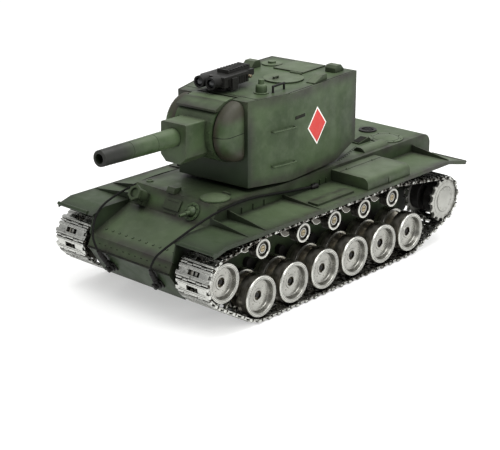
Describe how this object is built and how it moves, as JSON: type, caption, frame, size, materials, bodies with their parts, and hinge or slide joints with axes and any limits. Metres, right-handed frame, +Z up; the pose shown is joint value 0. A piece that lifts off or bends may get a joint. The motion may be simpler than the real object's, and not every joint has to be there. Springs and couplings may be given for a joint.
{
  "type": "rc tank",
  "caption": "Radio-controlled scale tank with a tall box turret, raised gun, metal running gear, mudguards with toolboxes and tow cables.",
  "frame": {"origin": "centre of the overall box on the floor plane, under the hull's middle line", "axes": "+X forward along the hull, +Y to the vehicle's left, +Z up"},
  "size_m": [0.4532, 0.212, 0.2154],
  "materials": {
    "battery_film": "shrink film",
    "black_plastic": "black plastic",
    "board_green": "soldered board",
    "brass": "turned brass",
    "cable_black": "black rope",
    "green_fittings": "matte olive-green plastic",
    "painted_shell": "matte olive-green airbrushed plastic",
    "steel": "machined steel",
    "track_metal": "bright worn metal",
    "wheel_metal": "turned bare metal"
  },
  "bodies": {
    "hull": {"lower_hull": "painted_shell", "upper_hull": "painted_shell", "left_fender": "painted_shell", "right_fender": "painted_shell", "stowage_boxes": "green_fittings", "hull_hatch": "green_fittings", "hull_fittings": "green_fittings", "headlamp": "green_fittings", "smoke_generator": "black_plastic", "tow_hooks": "black_plastic", "left_tow_cable": "cable_black", "right_tow_cable": "cable_black", "swing_arms": "steel", "roller_screws": "brass", "left_track": "track_metal", "right_track": "track_metal", "battery_pack": "battery_film", "drive_gearboxes": "steel", "control_board": "board_green", "speaker": "black_plastic", "traverse_motor": "steel", "hull_screws": "steel"},
    "left_sprocket": {"left_sprocket": "wheel_metal"},
    "left_idler": {"left_idler": "wheel_metal"},
    "left_wheel_1": {"left_road_wheel_1": "wheel_metal"},
    "left_wheel_2": {"left_road_wheel_2": "wheel_metal"},
    "left_wheel_3": {"left_road_wheel_3": "wheel_metal"},
    "left_wheel_4": {"left_road_wheel_4": "wheel_metal"},
    "left_wheel_5": {"left_road_wheel_5": "wheel_metal"},
    "left_wheel_6": {"left_road_wheel_6": "wheel_metal"},
    "left_roller_1": {"left_return_roller_1": "wheel_metal"},
    "left_roller_2": {"left_return_roller_2": "wheel_metal"},
    "left_roller_3": {"left_return_roller_3": "wheel_metal"},
    "left_roller_4": {"left_return_roller_4": "wheel_metal"},
    "left_roller_5": {"left_return_roller_5": "wheel_metal"},
    "right_sprocket": {"right_sprocket": "wheel_metal"},
    "right_idler": {"right_idler": "wheel_metal"},
    "right_wheel_1": {"right_road_wheel_1": "wheel_metal"},
    "right_wheel_2": {"right_road_wheel_2": "wheel_metal"},
    "right_wheel_3": {"right_road_wheel_3": "wheel_metal"},
    "right_wheel_4": {"right_road_wheel_4": "wheel_metal"},
    "right_wheel_5": {"right_road_wheel_5": "wheel_metal"},
    "right_wheel_6": {"right_road_wheel_6": "wheel_metal"},
    "right_roller_1": {"right_return_roller_1": "wheel_metal"},
    "right_roller_2": {"right_return_roller_2": "wheel_metal"},
    "right_roller_3": {"right_return_roller_3": "wheel_metal"},
    "right_roller_4": {"right_return_roller_4": "wheel_metal"},
    "right_roller_5": {"right_return_roller_5": "wheel_metal"},
    "turret": {"turret_shell": "painted_shell", "turret_base": "black_plastic", "turret_cheeks": "painted_shell", "turret_fittings": "green_fittings"},
    "gun": {"gun_mantlet": "painted_shell", "firing_unit": "steel"},
    "barrel": {"gun_barrel": "painted_shell"},
    "turret_hatch": {"turret_hatch": "green_fittings"},
    "light_swivel": {"light_base": "black_plastic"},
    "light_head": {"light_head": "black_plastic"},
    "bow_gun": {"bow_gun": "green_fittings"},
    "battery_cover": {"battery_cover": "painted_shell"}
  },
  "joints": [
    {"name": "left_drive", "type": "hinge", "parent": "hull", "child": "left_sprocket", "pos_m": [-0.1905, 0, 0.0489], "axis": [0, 1, 0], "continuous": true},
    {"name": "left_idler_turn", "type": "hinge", "parent": "hull", "child": "left_idler", "pos_m": [0.154, 0, 0.055], "axis": [0, 1, 0], "continuous": true},
    {"name": "left_wheel_1_turn", "type": "hinge", "parent": "hull", "child": "left_wheel_1", "pos_m": [0.104, 0, 0.0268], "axis": [0, 1, 0], "continuous": true},
    {"name": "left_wheel_2_turn", "type": "hinge", "parent": "hull", "child": "left_wheel_2", "pos_m": [0.057, 0, 0.0268], "axis": [0, 1, 0], "continuous": true},
    {"name": "left_wheel_3_turn", "type": "hinge", "parent": "hull", "child": "left_wheel_3", "pos_m": [0.01, 0, 0.0268], "axis": [0, 1, 0], "continuous": true},
    {"name": "left_wheel_4_turn", "type": "hinge", "parent": "hull", "child": "left_wheel_4", "pos_m": [-0.037, 0, 0.0268], "axis": [0, 1, 0], "continuous": true},
    {"name": "left_wheel_5_turn", "type": "hinge", "parent": "hull", "child": "left_wheel_5", "pos_m": [-0.084, 0, 0.0268], "axis": [0, 1, 0], "continuous": true},
    {"name": "left_wheel_6_turn", "type": "hinge", "parent": "hull", "child": "left_wheel_6", "pos_m": [-0.131, 0, 0.0268], "axis": [0, 1, 0], "continuous": true},
    {"name": "left_roller_1_turn", "type": "hinge", "parent": "hull", "child": "left_roller_1", "pos_m": [0.0995, 0, 0.0728], "axis": [0, 1, 0], "continuous": true},
    {"name": "left_roller_2_turn", "type": "hinge", "parent": "hull", "child": "left_roller_2", "pos_m": [0.0415, 0, 0.0728], "axis": [0, 1, 0], "continuous": true},
    {"name": "left_roller_3_turn", "type": "hinge", "parent": "hull", "child": "left_roller_3", "pos_m": [-0.0055, 0, 0.0728], "axis": [0, 1, 0], "continuous": true},
    {"name": "left_roller_4_turn", "type": "hinge", "parent": "hull", "child": "left_roller_4", "pos_m": [-0.0525, 0, 0.0728], "axis": [0, 1, 0], "continuous": true},
    {"name": "left_roller_5_turn", "type": "hinge", "parent": "hull", "child": "left_roller_5", "pos_m": [-0.0995, 0, 0.0728], "axis": [0, 1, 0], "continuous": true},
    {"name": "right_drive", "type": "hinge", "parent": "hull", "child": "right_sprocket", "pos_m": [-0.1905, 0, 0.0489], "axis": [0, 1, 0], "continuous": true},
    {"name": "right_idler_turn", "type": "hinge", "parent": "hull", "child": "right_idler", "pos_m": [0.154, 0, 0.055], "axis": [0, 1, 0], "continuous": true},
    {"name": "right_wheel_1_turn", "type": "hinge", "parent": "hull", "child": "right_wheel_1", "pos_m": [0.104, 0, 0.0268], "axis": [0, 1, 0], "continuous": true},
    {"name": "right_wheel_2_turn", "type": "hinge", "parent": "hull", "child": "right_wheel_2", "pos_m": [0.057, 0, 0.0268], "axis": [0, 1, 0], "continuous": true},
    {"name": "right_wheel_3_turn", "type": "hinge", "parent": "hull", "child": "right_wheel_3", "pos_m": [0.01, 0, 0.0268], "axis": [0, 1, 0], "continuous": true},
    {"name": "right_wheel_4_turn", "type": "hinge", "parent": "hull", "child": "right_wheel_4", "pos_m": [-0.037, 0, 0.0268], "axis": [0, 1, 0], "continuous": true},
    {"name": "right_wheel_5_turn", "type": "hinge", "parent": "hull", "child": "right_wheel_5", "pos_m": [-0.084, 0, 0.0268], "axis": [0, 1, 0], "continuous": true},
    {"name": "right_wheel_6_turn", "type": "hinge", "parent": "hull", "child": "right_wheel_6", "pos_m": [-0.131, 0, 0.0268], "axis": [0, 1, 0], "continuous": true},
    {"name": "right_roller_1_turn", "type": "hinge", "parent": "hull", "child": "right_roller_1", "pos_m": [0.0995, 0, 0.0728], "axis": [0, 1, 0], "continuous": true},
    {"name": "right_roller_2_turn", "type": "hinge", "parent": "hull", "child": "right_roller_2", "pos_m": [0.0415, 0, 0.0728], "axis": [0, 1, 0], "continuous": true},
    {"name": "right_roller_3_turn", "type": "hinge", "parent": "hull", "child": "right_roller_3", "pos_m": [-0.0055, 0, 0.0728], "axis": [0, 1, 0], "continuous": true},
    {"name": "right_roller_4_turn", "type": "hinge", "parent": "hull", "child": "right_roller_4", "pos_m": [-0.0525, 0, 0.0728], "axis": [0, 1, 0], "continuous": true},
    {"name": "right_roller_5_turn", "type": "hinge", "parent": "hull", "child": "right_roller_5", "pos_m": [-0.0995, 0, 0.0728], "axis": [0, 1, 0], "continuous": true},
    {"name": "turret_traverse", "type": "hinge", "parent": "hull", "child": "turret", "pos_m": [-0.0015, 0, 0.107], "axis": [0, 0, 1], "range_deg": [-165, 155]},
    {"name": "gun_elevation", "type": "hinge", "parent": "turret", "child": "gun", "pos_m": [0.06784, 0.00607, 0.166], "axis": [0.0872, -0.9962, 0], "range_deg": [-5, 9]},
    {"name": "barrel_recoil", "type": "slide", "parent": "gun", "child": "barrel", "axis": [-0.9954, -0.0871, -0.0393], "range_m": [0, 0.01], "stiffness_N_per_m": 120, "springref_m": -0.004},
    {"name": "turret_hatch_hinge", "type": "hinge", "parent": "turret", "child": "turret_hatch", "pos_m": [-0.04762, -0.00404, 0.1983], "axis": [0.0872, -0.9962, 0], "range_deg": [0, 95]},
    {"name": "light_pan", "type": "hinge", "parent": "turret", "child": "light_swivel", "pos_m": [0.04312, -0.00513, 0.197], "axis": [0, 0, 1], "range_deg": [-25, 25]},
    {"name": "light_tilt", "type": "hinge", "parent": "light_swivel", "child": "light_head", "pos_m": [0.04312, -0.00513, 0.206], "axis": [0.0872, -0.9962, 0], "range_deg": [-6, 12]},
    {"name": "bow_gun_swing", "type": "hinge", "parent": "hull", "child": "bow_gun", "pos_m": [0.11832, 0.027, 0.0967], "axis": [0, 0, 1], "range_deg": [-12, 12]},
    {"name": "battery_cover_slide", "type": "slide", "parent": "hull", "child": "battery_cover", "axis": [-1, 0, 0], "range_m": [0, 0.05]}
  ],
  "couplings": [
    {"joint": "left_idler_turn", "follows": "left_drive", "ratio": 1.0379},
    {"joint": "left_wheel_1_turn", "follows": "left_drive", "ratio": 0.9821},
    {"joint": "left_wheel_2_turn", "follows": "left_drive", "ratio": 0.9821},
    {"joint": "left_wheel_3_turn", "follows": "left_drive", "ratio": 0.9821},
    {"joint": "left_wheel_4_turn", "follows": "left_drive", "ratio": 0.9821},
    {"joint": "left_wheel_5_turn", "follows": "left_drive", "ratio": 0.9821},
    {"joint": "left_wheel_6_turn", "follows": "left_drive", "ratio": 0.9821},
    {"joint": "left_roller_1_turn", "follows": "left_drive", "ratio": 1.9381},
    {"joint": "left_roller_2_turn", "follows": "left_drive", "ratio": 1.9381},
    {"joint": "left_roller_3_turn", "follows": "left_drive", "ratio": 1.9381},
    {"joint": "left_roller_4_turn", "follows": "left_drive", "ratio": 1.9381},
    {"joint": "left_roller_5_turn", "follows": "left_drive", "ratio": 1.9381},
    {"joint": "right_idler_turn", "follows": "right_drive", "ratio": 1.0379},
    {"joint": "right_wheel_1_turn", "follows": "right_drive", "ratio": 0.9821},
    {"joint": "right_wheel_2_turn", "follows": "right_drive", "ratio": 0.9821},
    {"joint": "right_wheel_3_turn", "follows": "right_drive", "ratio": 0.9821},
    {"joint": "right_wheel_4_turn", "follows": "right_drive", "ratio": 0.9821},
    {"joint": "right_wheel_5_turn", "follows": "right_drive", "ratio": 0.9821},
    {"joint": "right_wheel_6_turn", "follows": "right_drive", "ratio": 0.9821},
    {"joint": "right_roller_1_turn", "follows": "right_drive", "ratio": 1.9381},
    {"joint": "right_roller_2_turn", "follows": "right_drive", "ratio": 1.9381},
    {"joint": "right_roller_3_turn", "follows": "right_drive", "ratio": 1.9381},
    {"joint": "right_roller_4_turn", "follows": "right_drive", "ratio": 1.9381},
    {"joint": "right_roller_5_turn", "follows": "right_drive", "ratio": 1.9381}
  ]
}
